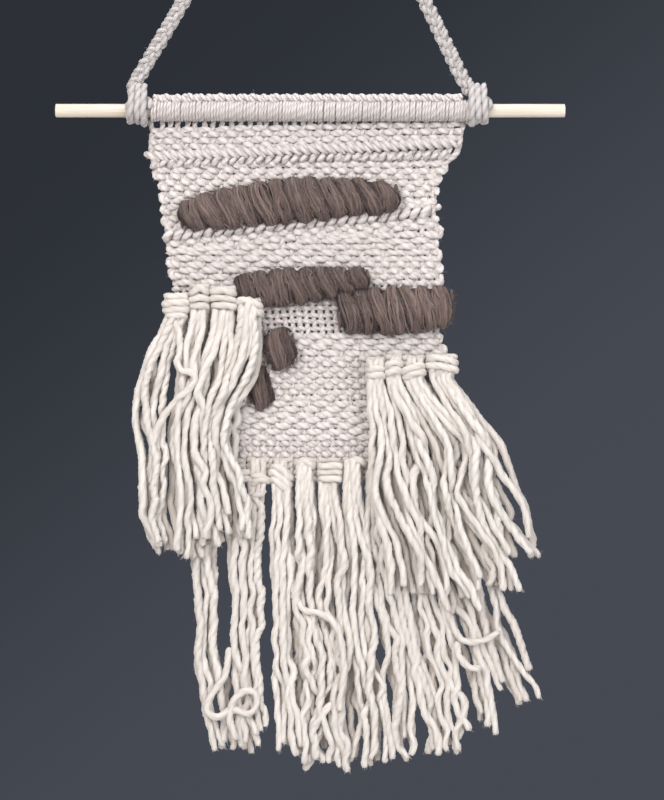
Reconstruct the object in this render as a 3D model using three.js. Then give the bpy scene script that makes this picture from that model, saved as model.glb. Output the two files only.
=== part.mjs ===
import * as THREE from 'three';

// A small woven wall hanging, in millimetres: +Z is up and the woven face looks along -Y.
// The origin is where the plaited cord rests on its nail. Depths are measured down from
// the dowel's axis, and distances across the work are measured in from the header's ends.

// Clearances
const touchGap = 0.3;          // between pieces that lie against each other
const turnGap = 0.3;           // round the dowel, inside what is wound on it
const swingGap = 1;            // between fringes that swing on their own

// Dowel and header
const dowelDiameter = 8;
const dowelStub = { left: 43.2, right: 46 };   // bare wood outside the cord's loops
const headerWidth = 190;
const headerCentre = -3;
const bindingYarn = 2;         // yarn wound round the dowel
const chainHeight = 4.4;       // twisted edge along the top of the binding
const chainHalfAngle = 34;     // degrees of the binding that it covers, each way from the top
const chainInset = 4;          // at each end, beside the cord

// Plaited cord, from one loop over the nail to the other
const hangDrop = 175;          // nail down to the dowel's axis
const cordDiameter = 9.5;
const cordSides = 10;
const cordSteps = 44;
const loopWidth = 13;          // two turns side by side
const loopBulge = 4.4;
const loopValley = 0.62;       // share of the bulge left between the turns
const cordRoute = [
  [-108.3, -165.8], [-108.2, -163.2], [-107.6, -160.1], [-106.2, -156.8], [-100, -146.5],
  [-88, -126.1], [-74, -102.3], [-60, -78.6], [-46, -54.8], [-32, -31], [-22.5, -14.9],
  [-18.7, -8.6], [-14.6, -2.7], [-8.4, 1.9], [0, 4.5], [7.7, 3.1], [14.2, -1.2],
  [18.6, -7.8], [22.3, -15.4], [30, -31.4], [42, -56.3], [54, -81.2], [66, -106.1],
  [78, -131], [88, -151.8], [91.9, -158.6], [94.1, -162.6], [94.4, -165.8],
];

// Woven panel: zones from the header down, each across the whole width
const panelThickness = 6;
const panelSetBack = 3.5;      // the weave's middle, behind the dowel's axis, where it balances
const warpThickness = 2.4;
const warpWidth = 1.9;
const warpPitch = 5.3;
const warpRail = 1.5;
const openRowHeight = 6;
const ridgeFall = { left: 8.5, right: -8.5 };  // the slanting row, below and above level
const zones = [
  { name: 'soumak_header', height: 17.2, yarn: 'grey' },
  { name: 'tabby_upper', height: 33.3, yarn: 'cream', slantBelow: true },
  { name: 'soumak_ridge', height: 11.4, yarn: 'cream', slantAbove: true, slantBelow: true },
  { name: 'floats_upper', height: 29.4, yarn: 'cream', slantAbove: true },
  { name: 'tabby_open', height: 28, yarn: 'grey' },
  { name: 'floats_middle', height: 13.5, yarn: 'cream' },
  { name: 'tabby_lower', height: 26.8, yarn: 'cream' },
  { name: 'floats_lower', height: 23.7, yarn: 'cream' },
  { name: 'hem', height: 10.3, yarn: 'grey' },
];
const selvedge = {             // depth, and how far in from the header's end
  left: [[8, -1.2], [24, -1.8], [36, 1.2], [45, 6.1], [75, 7.9], [90, 10.9], [104, 13.3],
    [144, 21], [210, 29]],
  right: [[8, 0], [18, 1.2], [24, 2.6], [33, 11.4], [45, 16.8], [63, 17.4], [72, 14.4],
    [81, 16.8], [91, 14.4], [135, 15], [148, 11.4], [210, 11.4]],
};
const selvedgeStep = 7;

// Roving bands, each laid over a zone: from and to are in from the left end, tops and
// bottoms are depths below that zone's level top, at the left, the middle and the right
const rovings = [
  { name: 'roving_upper', zone: 'tabby_upper', from: 18, to: 149.5, lobes: 12, proud: 12,
    top: [24, 10, 12], foot: [43, 37, 32] },
  { name: 'roving_middle', zone: 'tabby_open', from: 51.5, to: 133, lobes: 8, proud: 10,
    top: [-5, -11, -9], foot: [7.5, 7.5, 1.5] },
  { name: 'roving_right', zone: 'tabby_open', from: 112.5, to: 184, lobes: 8, proud: 12,
    top: [4, 0.5, 2], foot: [29, 30, 24] },
  { name: 'roving_knot', zone: 'tabby_open', from: 72, to: 87.5, lobes: 2, proud: 10,
    top: [27, 27, 28], foot: [51, 53, 50] },
  { name: 'roving_tail', zone: 'tabby_lower', from: 64, to: 71.5, lobes: 2, proud: 5,
    top: [12, 9.5, 12], foot: [29, 32, 28] },
];

// Fringes. Reach is the longest tassel, from its pivot to its tip, and the others are
// shorter by the given amounts. A seam is the border between two tassels: where it starts,
// how far it leans by the full reach, and how far it bellies halfway down.
const sideFringeThickness = 9.6;
const bottomFringeThickness = 9;
const sideFringes = [
  { side: 'left', zone: 'tabby_open', knotFoot: 18.8, reach: 147,
    knots: [13.5, 19, 17.8, 11], shorter: [4, 0, 7, 13],
    seams: [[8.5, -11, -11], [24.1, -7.2, -7], [36.1, -1.8, -5], [52.4, -1.2, -8],
      [67.4, 3.6, -14]] },
  { side: 'right', zone: 'tabby_lower', knotFoot: 14.4, reach: 143,
    knots: [13, 14.4, 14, 14.6], shorter: [12, 0, 15, 34],
    seams: [[60.1, -7.2, 1], [48.7, -21.1, -3], [38.5, -36.1, -6], [24.6, -48.1, -8],
      [5.4, -58, -9]] },
];
const bottomFringe = {
  knotHeight: 18, reach: 172.6,
  left: { start: 28.9, pitch: 14.4, lean: [-3.6, -2.5, -0.6, 0], shorter: [12.6, 8.6, 23.6] },
  middle: { lean: [0, 3, 6, 8.5, 10], shorter: [7.6, 1.6, 0, 3.6] },
  right: { start: 11.4, pitch: 12.4, lean: [10, 20, 31, 43, 56], shorter: [5.6, 8.6, 22.6, 50.6] },
};

// How finely round and soft solids are faceted, and how their ends are rounded off
const roundSides = 24;
const softSides = 8;
const rovingSides = 10;
const squareness = 0.62;       // 1 is a round section, and 0 a square one

const dowelRadius = dowelDiameter / 2;
const bindingInner = dowelRadius + turnGap;
const bindingOuter = bindingInner + bindingYarn;
const headerLeft = headerCentre - headerWidth / 2;
const headerRight = headerCentre + headerWidth / 2;
const panelFront = panelSetBack - panelThickness / 2;
const warpTop = bindingOuter + touchGap;
const weaveTop = warpTop + openRowHeight + touchGap;

const finish = {
  wood: new THREE.MeshStandardMaterial({ color: 0xe2cfae, roughness: 0.65 }),
  cream: new THREE.MeshStandardMaterial({ color: 0xe1dacf, roughness: 0.95 }),
  grey: new THREE.MeshStandardMaterial({ color: 0xcdc6c0, roughness: 0.95 }),
  roving: new THREE.MeshStandardMaterial({ color: 0x6e5d52, roughness: 1 }),
};

const hanging = new THREE.Group();
const onDowel = new THREE.Group();   // everything that is placed from the dowel's axis
onDowel.position.z = -hangDrop;
hanging.add(onDowel);

function addPiece(group, name, geometry, material) {
  const piece = new THREE.Mesh(geometry, material);
  piece.name = name;
  group.add(piece);
  return piece;
}

// An upright outline of [x, z] points, thickened along Y about the given middle.
function slab(shape, thickness, middle) {
  const geometry = new THREE.ExtrudeGeometry(shape, { depth: thickness, bevelEnabled: false });
  geometry.rotateX(Math.PI / 2);
  geometry.translate(0, middle + thickness / 2, 0);
  return geometry;
}

// A closed bar whose skin is moved to place(t, u, v): t runs from 0 to 1 along it, and
// u and v are its round section.
function loft(sides, rings, place) {
  const geometry = new THREE.CylinderGeometry(1, 1, 1, sides, rings);
  const points = geometry.attributes.position;
  const tidy = (value) => Math.round(value * 1e5) / 1e5;
  for (let i = 0; i < points.count; i += 1) {
    const t = tidy(points.getY(i) + 0.5);
    points.setXYZ(i, ...place(t, tidy(points.getX(i)), tidy(points.getZ(i))));
  }
  geometry.computeVertexNormals();
  return geometry;
}

// Pushes a round section towards a square one.
function squarer(value) {
  return Math.sign(value) * Math.abs(value) ** squareness;
}

function alongX(geometry) {
  return geometry.rotateZ(-Math.PI / 2);
}

// A value read from three, at the start, the middle and the end.
function through([a, b, c], t) {
  return a * (1 - t) * (1 - 2 * t) + b * 4 * t * (1 - t) + c * t * (2 * t - 1);
}

function readAlong(stations, depth) {
  const last = stations.length - 1;
  if (depth <= stations[0][0]) return stations[0][1];
  if (depth >= stations[last][0]) return stations[last][1];
  const next = stations.findIndex(([d]) => d > depth);
  const [d0, v0] = stations[next - 1];
  const [d1, v1] = stations[next];
  const t = (depth - d0) / (d1 - d0);
  return v0 + (v1 - v0) * t * t * (3 - 2 * t);
}

const leftEdge = (depth) => headerLeft + readAlong(selvedge.left, depth);
const rightEdge = (depth) => headerRight - readAlong(selvedge.right, depth);

// Depth of each zone's level top, by name.
function zoneTops() {
  const tops = {};
  let depth = weaveTop;
  for (const { name, height } of zones) {
    tops[name] = depth;
    depth += height + touchGap;
  }
  tops.end = depth;
  return tops;
}
const topOf = zoneTops();

function buildDowel() {
  const from = headerLeft - touchGap * 2 - loopWidth - dowelStub.left;
  const to = headerRight + touchGap * 2 + loopWidth + dowelStub.right;
  const rod = new THREE.CylinderGeometry(dowelRadius, dowelRadius, to - from, roundSides);
  addPiece(onDowel, 'dowel', alongX(rod).translate((from + to) / 2, 0, 0), finish.wood);
}

// Two turns of the cord's end, side by side round the dowel.
function buildLoop(name, middle) {
  const turn = loopWidth / 4;
  const outline = [new THREE.Vector2(bindingInner, -loopWidth / 2)];
  const arcSteps = 4;
  for (const centre of [-turn, turn]) {
    for (let step = 0; step <= arcSteps; step += 1) {
      const angle = Math.PI * (step / arcSteps - 0.5);
      const reach = loopBulge * (loopValley + (1 - loopValley) * Math.cos(angle));
      outline.push(new THREE.Vector2(bindingInner + reach, centre + turn * Math.sin(angle)));
    }
  }
  outline.push(new THREE.Vector2(bindingInner, loopWidth / 2), outline[0].clone());
  const geometry = alongX(new THREE.LatheGeometry(outline, roundSides));
  addPiece(onDowel, name, geometry.translate(middle, 0, 0), finish.grey);
}

function buildCord() {
  const route = cordRoute.map(([x, z]) => new THREE.Vector3(x, 0, z));
  const section = new THREE.Shape();
  for (let side = 0; side < cordSides; side += 1) {
    const angle = (side / cordSides) * Math.PI * 2;
    const [x, y] = [Math.cos(angle), Math.sin(angle)].map((v) => (v * cordDiameter) / 2);
    if (side === 0) section.moveTo(x, y);
    else section.lineTo(x, y);
  }
  const path = new THREE.CatmullRomCurve3(route, false, 'centripetal');
  const options = { steps: cordSteps, extrudePath: path, bevelEnabled: false };
  addPiece(hanging, 'hanging_cord', new THREE.ExtrudeGeometry(section, options), finish.grey);
}

function buildHeader() {
  const outline = [
    [bindingInner, -headerWidth / 2], [bindingOuter, -headerWidth / 2],
    [bindingOuter, headerWidth / 2], [bindingInner, headerWidth / 2],
    [bindingInner, -headerWidth / 2],
  ].map(([r, y]) => new THREE.Vector2(r, y));
  const binding = alongX(new THREE.LatheGeometry(outline, roundSides));
  addPiece(onDowel, 'header_binding', binding.translate(headerCentre, 0, 0), finish.grey);

  const inner = bindingOuter + touchGap;
  const half = THREE.MathUtils.degToRad(chainHalfAngle);
  const saddle = new THREE.Shape();
  saddle.absarc(0, 0, inner + chainHeight, Math.PI / 2 - half, Math.PI / 2 + half, false);
  saddle.absarc(0, 0, inner, Math.PI / 2 + half, Math.PI / 2 - half, true);
  const length = headerWidth - 2 * chainInset;
  const options = { depth: length, bevelEnabled: false, curveSegments: 5 };
  const chain = new THREE.ExtrudeGeometry(saddle, options);
  chain.rotateX(Math.PI / 2).rotateZ(Math.PI / 2);
  chain.translate(headerLeft + chainInset, 0, 0);
  addPiece(onDowel, 'header_chain', chain, finish.grey);
}

// The bare row under the header, where the warp ends show side by side: a comb, with its
// back along the binding.
function buildWarp() {
  const foot = warpTop + openRowHeight;
  const count = Math.floor((headerWidth - warpWidth) / warpPitch) + 1;
  const first = headerCentre - ((count - 1) * warpPitch) / 2;
  const root = -warpTop - warpRail;
  const comb = new THREE.Shape();
  comb.moveTo(first - warpWidth / 2, -warpTop);
  for (let i = 0; i < count; i += 1) {
    const [from, to] = [-1, 1].map((way) => first + i * warpPitch + (way * warpWidth) / 2);
    if (i > 0) comb.lineTo(from, root);
    comb.lineTo(from, -foot);
    comb.lineTo(to, -foot);
    if (i < count - 1) comb.lineTo(to, root);
  }
  comb.lineTo(first + (count - 1) * warpPitch + warpWidth / 2, -warpTop);
  addPiece(onDowel, 'warp_ends', slab(comb, warpThickness, panelSetBack), finish.grey);
}

// How far a slanting border lies below its level depth, at a place across the work.
function slantAt(x) {
  const t = (x - headerLeft) / headerWidth;
  return ridgeFall.left + (ridgeFall.right - ridgeFall.left) * t;
}

function zoneOutline(zone) {
  const above = (x) => topOf[zone.name] + (zone.slantAbove ? slantAt(x) : 0);
  const below = (x) => topOf[zone.name] + zone.height + (zone.slantBelow ? slantAt(x) : 0);
  const sideways = [];
  for (const [edge, guess] of [[leftEdge, headerLeft], [rightEdge, headerRight]]) {
    const [from, to] = [above(guess), below(guess)];
    const count = Math.max(2, Math.round((to - from) / selvedgeStep));
    const side = [];
    for (let i = 0; i <= count; i += 1) {
      const depth = from + ((to - from) * i) / count;
      side.push(new THREE.Vector2(edge(depth), -depth));
    }
    sideways.push(side);
  }
  const [left, right] = sideways;
  for (const side of sideways) {          // the corners lie on the slanting borders
    side[0].y = -above(side[0].x);
    side[side.length - 1].y = -below(side[side.length - 1].x);
  }
  return new THREE.Shape([...left, ...right.reverse()]);
}

function buildZones() {
  for (const zone of zones) {
    addPiece(onDowel, zone.name, slab(zoneOutline(zone), panelThickness, panelSetBack), finish[zone.yarn]);
  }
}

function buildRoving({ name, zone, from, to, lobes, proud, top, foot }) {
  const back = panelFront - touchGap;
  const ringsPerLobe = 3;
  const endSize = 0.45;                   // share of the full section at the very ends
  const bluntness = 0.35;
  const groove = 0.07;                    // between lobes, as a share of the section
  const geometry = loft(rovingSides, lobes * ringsPerLobe, (t, u, v) => {
    const end = endSize + (1 - endSize) * Math.sin(Math.PI * t) ** bluntness;
    const lobe = 1 - groove + groove * Math.abs(Math.sin(Math.PI * lobes * t));
    const [high, low] = [through(top, t), through(foot, t)];
    const depth = topOf[zone] + (high + low) / 2;
    const half = ((low - high) / 2) * end * lobe;
    const x = headerLeft + from + (to - from) * t;
    return [x, back - (proud / 2) * (1 - squarer(v) * end * lobe), -depth + squarer(u) * half];
  });
  addPiece(onDowel, name, geometry, finish.roving);
}

// A knot of folded strands: rounded, between two seams, from one depth to another.
function buildKnot(name, left, right, top, foot, middle, thickness) {
  const rings = 4;
  const endSize = 0.7;                    // share of the full section at top and foot
  const geometry = loft(softSides, rings, (t, u, v) => {
    const rounding = endSize + (1 - endSize) * Math.sin(Math.PI * t);
    const x = (left + right) / 2 + squarer(u) * rounding * ((right - left) / 2);
    return [x, middle - squarer(v) * rounding * (thickness / 2), -(foot + (top - foot) * t)];
  });
  addPiece(onDowel, name, geometry, finish.cream);
}

// How far across a seam lies, at a distance down from the fringe's pivot.
function seamAt({ start, lean, belly }, down, reach) {
  const t = THREE.MathUtils.clamp(down / reach, 0, 1);
  return start + lean * t * t * (3 - 2 * t) + belly * Math.sin(Math.PI * t) ** 2;
}

// A tassel hangs from its pivot between two seams. Its top is rounded about the pivot, so
// that it turns there without touching its knot.
function buildTassel(name, fringe, index) {
  const { pivot, middle, thickness, reach, seams, shorter, gaps } = fringe;
  const radius = thickness / 2;
  const shoulder = [-0.9, -0.5, 0];       // rounded top, in radii below the pivot
  const length = reach - shorter[index];
  const body = 9;
  const tipSize = 0.62;
  const tipStart = 0.9;
  const downs = shoulder.map((share) => share * radius);
  for (let i = 1; i <= body; i += 1) downs.push((length * i) / body);
  const rings = downs.length - 1;
  const geometry = loft(softSides, rings, (t, u, v) => {
    const down = downs[rings - Math.round(t * rings)];
    const cap = down < 0 ? Math.sqrt(radius ** 2 - down ** 2) / radius : 1;
    const tip = down > length * tipStart ? tipSize : 1;
    const left = seamAt(seams[index], down, reach) + gaps[index] / 2;
    const right = seamAt(seams[index + 1], down, reach) - gaps[index + 1] / 2;
    const x = (left + right) / 2 + squarer(u) * tip * ((right - left) / 2);
    return [x, middle - squarer(v) * cap * tip * radius, -(pivot + down)];
  });
  addPiece(onDowel, name, geometry, finish.cream);
}

function buildSideFringe({ side, zone, knotFoot, reach, knots, shorter, seams }) {
  const fromEnd = (inset) => (side === 'left' ? headerLeft + inset : headerRight - inset);
  const foot = topOf[zone] + knotFoot;
  const thickness = sideFringeThickness;
  const knotMiddle = panelFront - touchGap - thickness / 2;
  const fringe = {
    pivot: foot + touchGap + thickness / 2,
    middle: panelSetBack - bottomFringeThickness / 2 - touchGap - thickness / 2,
    thickness, reach, shorter,
    seams: seams.map(([inset, lean, belly]) => ({
      start: fromEnd(inset),
      lean: side === 'left' ? lean : -lean,
      belly: side === 'left' ? belly : -belly,
    })),
    gaps: seams.map(() => touchGap),
  };
  knots.forEach((height, i) => {
    const [left, right] = [fringe.seams[i].start, fringe.seams[i + 1].start];
    buildKnot(`knot_${side}_${i + 1}`, left + touchGap / 2, right - touchGap / 2,
      foot - height, foot, knotMiddle, thickness);
    buildTassel(`tassel_${side}_${i + 1}`, fringe, i);
  });
}

function buildBottomFringe() {
  const { knotHeight, reach, left, middle, right } = bottomFringe;
  const thickness = bottomFringeThickness;
  const top = topOf.end;
  const foot = top + knotHeight;
  const pivot = foot + touchGap + thickness / 2;
  const first = headerLeft + left.start;
  const last = headerRight - right.start;
  const innerLeft = first + left.pitch * left.shorter.length;
  const innerRight = last - right.pitch * right.shorter.length;
  const starts = {
    left: (i) => first + left.pitch * i,
    middle: (i) => innerLeft + ((innerRight - innerLeft) * i) / middle.shorter.length,
    right: (i) => innerRight + right.pitch * i,
  };
  for (const [name, part] of Object.entries({ left, middle, right })) {
    const seams = part.lean.map((lean, i) => ({ start: starts[name](i), lean, belly: 0 }));
    const ends = seams.length - 1;
    const gaps = seams.map((seam, i) => (i === 0 || i === ends ? swingGap : touchGap));
    const { shorter } = part;
    const fringe = { pivot, middle: panelSetBack, thickness, reach, shorter, seams, gaps };
    shorter.forEach((_, i) => {
      buildKnot(`knot_bottom_${name}_${i + 1}`, seams[i].start + gaps[i] / 2,
        seams[i + 1].start - gaps[i + 1] / 2, top, foot, panelSetBack, thickness);
      buildTassel(`tassel_bottom_${name}_${i + 1}`, fringe, i);
    });
  }
}

buildCord();
buildLoop('cord_loop_left', headerLeft - touchGap - loopWidth / 2);
buildLoop('cord_loop_right', headerRight + touchGap + loopWidth / 2);
buildDowel();
buildHeader();
buildWarp();
buildZones();
rovings.forEach(buildRoving);
sideFringes.forEach(buildSideFringe);
buildBottomFringe();

export default hanging;
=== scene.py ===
import math

import bpy
import numpy as np
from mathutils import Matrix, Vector


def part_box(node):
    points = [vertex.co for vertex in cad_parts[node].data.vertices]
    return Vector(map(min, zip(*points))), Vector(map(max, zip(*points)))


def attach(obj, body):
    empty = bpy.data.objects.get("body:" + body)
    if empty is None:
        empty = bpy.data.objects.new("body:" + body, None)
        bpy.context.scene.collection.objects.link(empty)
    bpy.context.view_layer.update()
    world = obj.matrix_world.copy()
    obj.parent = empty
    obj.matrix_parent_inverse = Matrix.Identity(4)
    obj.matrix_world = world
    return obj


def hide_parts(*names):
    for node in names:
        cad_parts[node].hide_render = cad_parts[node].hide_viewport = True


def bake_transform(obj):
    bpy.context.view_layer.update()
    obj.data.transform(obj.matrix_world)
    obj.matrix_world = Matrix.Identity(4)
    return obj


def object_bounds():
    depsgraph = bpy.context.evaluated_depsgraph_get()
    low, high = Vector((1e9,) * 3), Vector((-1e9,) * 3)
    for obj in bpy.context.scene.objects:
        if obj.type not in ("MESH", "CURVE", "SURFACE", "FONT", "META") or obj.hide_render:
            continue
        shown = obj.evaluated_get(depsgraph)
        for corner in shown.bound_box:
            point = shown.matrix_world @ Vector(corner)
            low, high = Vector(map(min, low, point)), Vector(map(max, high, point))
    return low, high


# A small woven wall hanging on its dowel. Yarn is laid out in millimetres, with depths
# measured down from the dowel's axis, and becomes metres when a piece is made.

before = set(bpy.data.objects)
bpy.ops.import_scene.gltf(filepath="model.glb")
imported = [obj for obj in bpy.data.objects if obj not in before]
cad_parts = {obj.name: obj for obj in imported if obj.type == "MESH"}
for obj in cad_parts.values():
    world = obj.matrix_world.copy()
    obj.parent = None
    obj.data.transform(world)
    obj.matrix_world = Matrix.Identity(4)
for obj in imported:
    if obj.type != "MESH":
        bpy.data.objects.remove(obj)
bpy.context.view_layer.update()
mm = 0.001
rng = np.random.default_rng(11)

hangDrop = 175
headerLeft, headerRight = -98, 92
weaveMiddle = 3.5
warpCount = 36
warpInset = 2.2                         # from the weave's edge to its outermost warp
selvedge = {
    "left": [(8, -1.2), (24, -1.8), (36, 1.2), (45, 6.1), (75, 7.9), (90, 10.9), (104, 13.3),
             (144, 21), (210, 29)],
    "right": [(8, 0), (18, 1.2), (24, 2.6), (33, 11.4), (45, 16.8), (63, 17.4), (72, 14.4),
              (81, 16.8), (91, 14.4), (135, 15), (148, 11.4), (210, 11.4)],
}
ridgeFall = 8.5


# Camera, lights and floor
stageLook = {
    "lens": 104.7,
    "sensor": 36,
    "distance": 1.4,
    "across": 0.01143,
    "height": -0.3491,
    # the backdrop runs from dark to pale: painted light falling across it
    "wallDark": (0.026, 0.030, 0.038),
    "wallPale": (0.062, 0.068, 0.086),
    "wallLean": -1.25,
    "wallFade": (-0.26, 0.16),
    "floorDrop": 0.32,
    "floorSide": 2.6,
    "floorPaint": (0.7, 0.69, 0.67),
    "floorRoughness": 0.7,
    "aim": (0, 0, -0.33),
    "lights": [                         # name, place, size, watts, colour
        ("keyLight", (-0.6, -1.3, 0.4), (1.1, 1.1), 27, (1, 0.985, 0.97)),
        ("fillLight", (0.9, -1.3, -0.2), (1.1, 1.1), 16, (0.97, 0.98, 1)),
        ("topLight", (0.1, -0.2, 0.8), (0.6, 0.4), 6, (1, 1, 1)),
        ("backLight", (-0.5, 1.3, 0.2), (1.0, 1.0), 22, (1, 1, 1)),
    ],
}


def makeCamera():
    data = bpy.data.cameras.new("camera")
    data.lens = stageLook["lens"]
    data.sensor_width = stageLook["sensor"]
    camera = bpy.data.objects.new("camera", data)
    camera.location = (stageLook["across"], -stageLook["distance"], stageLook["height"])
    camera.rotation_euler = (math.radians(90), 0, 0)
    bpy.context.collection.objects.link(camera)
    bpy.context.scene.camera = camera


def softLight(name, place, size, watts, colour):
    data = bpy.data.lights.new(name, "AREA")
    data.shape = "RECTANGLE"
    data.size, data.size_y = size
    data.energy = watts
    data.color = colour
    lamp = bpy.data.objects.new(name, data)
    lamp.location = place
    aim = Vector(stageLook["aim"]) - Vector(place)
    lamp.rotation_euler = aim.to_track_quat("-Z", "Y").to_euler()
    bpy.context.collection.objects.link(lamp)


def paintWall():
    world = bpy.data.worlds.new("studio")
    world.use_nodes = True
    nodes, links = world.node_tree.nodes, world.node_tree.links
    coords = nodes.new("ShaderNodeTexCoord")
    parts = nodes.new("ShaderNodeSeparateXYZ")
    links.new(coords.outputs["Generated"], parts.inputs[0])
    # painted light: the backdrop grows paler towards the right and the bottom
    lean = nodes.new("ShaderNodeMath")
    lean.operation = "MULTIPLY_ADD"
    lean.inputs[1].default_value = stageLook["wallLean"]
    links.new(parts.outputs["Z"], lean.inputs[0])
    links.new(parts.outputs["X"], lean.inputs[2])
    spread = nodes.new("ShaderNodeMapRange")
    spread.interpolation_type = "SMOOTHSTEP"
    for label, value in zip(("From Min", "From Max"), stageLook["wallFade"]):
        spread.inputs[label].default_value = value
    links.new(lean.outputs[0], spread.inputs["Value"])
    wall = nodes.new("ShaderNodeMix")
    wall.data_type = "RGBA"
    wall.inputs[6].default_value = (*stageLook["wallDark"], 1)
    wall.inputs[7].default_value = (*stageLook["wallPale"], 1)
    links.new(spread.outputs["Result"], wall.inputs["Factor"])
    links.new(wall.outputs[2], nodes["Background"].inputs["Color"])
    bpy.context.scene.world = world
    bpy.context.scene.view_settings.view_transform = "Standard"


def layFloor():
    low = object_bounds()[0]
    bpy.ops.mesh.primitive_plane_add(size=stageLook["floorSide"],
                                     location=(0, 0, low[2] - stageLook["floorDrop"]))
    floor = bpy.context.object
    floor.name = "floor"
    material = bpy.data.materials.new("paleFloor")
    material.use_nodes = True
    shader = material.node_tree.nodes["Principled BSDF"]
    shader.inputs["Base Color"].default_value = (*stageLook["floorPaint"], 1)
    shader.inputs["Roughness"].default_value = stageLook["floorRoughness"]
    floor.data.materials.append(material)


makeCamera()
paintWall()
for light in stageLook["lights"]:
    softLight(*light)
layFloor()
print("stage ready")


# Yarn as a mesh: a batch gathers strands and stray fibres until it becomes one piece
fibreLook = {"sides": 3, "places": (0, 0.3, 0.65, 1.0), "widths": (1, 0.95, 0.8, 0.3)}
fibrePoints = fibreLook["sides"] * len(fibreLook["places"])
mapLength = 10                          # millimetres of yarn to one unit of its map


def newBatch():
    return {"points": [], "quads": [], "caps": [], "maps": [], "tints": [], "grooveShades": [],
            "count": 0}


def wander(count, knots, size):         # a soft random line through a few knots
    raw = rng.uniform(-1, 1, knots)
    at = np.linspace(0, knots - 1, count)
    low = np.minimum(at.astype(int), knots - 2)
    t = at - low
    t = t * t * (3 - 2 * t)
    return size * (raw[low] * (1 - t) + raw[low + 1] * t)


def evenly(route, step):                # the same route with points at even steps
    route = np.asarray(route, float)
    along = np.concatenate([[0], np.cumsum(np.linalg.norm(np.diff(route, axis=0), axis=1))])
    count = max(4, int(round(along[-1] / step)) + 1)
    at = np.linspace(0, along[-1], count)
    return np.stack([np.interp(at, along, route[:, k]) for k in range(3)], axis=1), at


def smoothLine(points, perSpan=8):      # a smooth curve through its points
    p = np.asarray(points, float)
    p = np.vstack([2 * p[0] - p[1], p, 2 * p[-1] - p[-2]])
    t = (np.arange(perSpan) / perSpan)[:, None]
    spans = []
    for i in range(1, len(p) - 2):
        a, b, c, d = p[i - 1], p[i], p[i + 1], p[i + 2]
        spans.append(0.5 * (2 * b + (c - a) * t + (2 * a - 5 * b + 4 * c - d) * t ** 2
                            + (3 * b - a - 3 * c + d) * t ** 3))
    return np.vstack([*spans, p[-2:-1]])


def followers(route, steady):           # the way along a route and two ways across it
    tangent = np.gradient(route, axis=0)
    tangent /= np.linalg.norm(tangent, axis=1)[:, None] + 1e-9
    if steady:                          # the section keeps facing the front
        side = np.array([0, 1, 0]) - tangent * tangent[:, 1:2]
        side /= np.linalg.norm(side, axis=1)[:, None] + 1e-9
        return tangent, side, np.cross(tangent, side)
    side = np.empty_like(route)
    held = np.array([0.0, 1.0, 0.0]) if abs(tangent[0][1]) < 0.8 else np.array([1.0, 0.0, 0.0])
    for i, t in enumerate(tangent):
        held = held - held.dot(t) * t
        held = held / (math.sqrt(held.dot(held)) + 1e-9)
        side[i] = held
    return tangent, side, np.cross(tangent, side)


# One strand: a two-ply section that winds along its route, with a groove between the plies; how
# deep each point sits in the groove is kept for painted shade there
def addStrand(batch, route, radius, tint=0.5, sides=12, step=1.7, twist=15.0, valley=0.62,
              swell=None, lumps=0.04, tip=0.5, deep=1.0, wide=1.0, steady=False):
    route, along = evenly(route, step)
    rings = len(route)
    tangent, side, up = followers(route, steady)
    angle = np.arange(sides) / sides * 2 * math.pi
    reach = 1 - (1 - valley) * (1 - np.abs(np.cos(angle))) ** 1.4
    # painted shade: how far into the groove each point lies, which darkens the colour there
    grooveShade = (1 - reach) / max(1 - valley, 1e-6)
    turn = rng.uniform(0, 2 * math.pi) + (2 * math.pi * along / twist if twist else 0 * along)
    size = radius * (1 + wander(rings, max(3, rings // 5), lumps))
    if swell is not None:
        size = size * np.interp(np.linspace(0, 1, rings), np.linspace(0, 1, len(swell)), swell)
    size[0] *= tip
    size[-1] *= tip
    rough = 1 + rng.normal(0, lumps * 0.5, (rings, sides))
    a = np.cos(angle[None] + turn[:, None]) * reach * size[:, None] * rough
    b = np.sin(angle[None] + turn[:, None]) * reach * size[:, None] * rough
    points = (route[:, None] + deep * a[..., None] * side[:, None]
              + wide * b[..., None] * up[:, None])
    ring, place = np.meshgrid(np.arange(rings - 1), np.arange(sides), indexing="ij")
    after = (place + 1) % sides
    base = batch["count"]
    quads = base + np.stack([ring * sides + place, ring * sides + after,
                             (ring + 1) * sides + after, (ring + 1) * sides + place], axis=-1)
    u0, u1 = place / sides, (place + 1) / sides
    v0, v1 = along[ring] / mapLength, along[ring + 1] / mapLength
    maps = np.stack([np.stack([u0, v0], -1), np.stack([u1, v0], -1),
                     np.stack([u1, v1], -1), np.stack([u0, v1], -1)], axis=-2)
    batch["points"].append(points.reshape(-1, 3))
    batch["quads"].append(quads.reshape(-1, 4))
    batch["maps"].append(maps.reshape(-1, 2))
    batch["caps"].append(base + np.arange(sides)[::-1])
    batch["caps"].append(base + (rings - 1) * sides + np.arange(sides))
    batch["tints"].append(np.full(rings * sides, tint))
    batch["grooveShades"].append(np.tile(grooveShade, rings))
    batch["count"] += rings * sides
    return route, tangent, side, up, size


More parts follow.
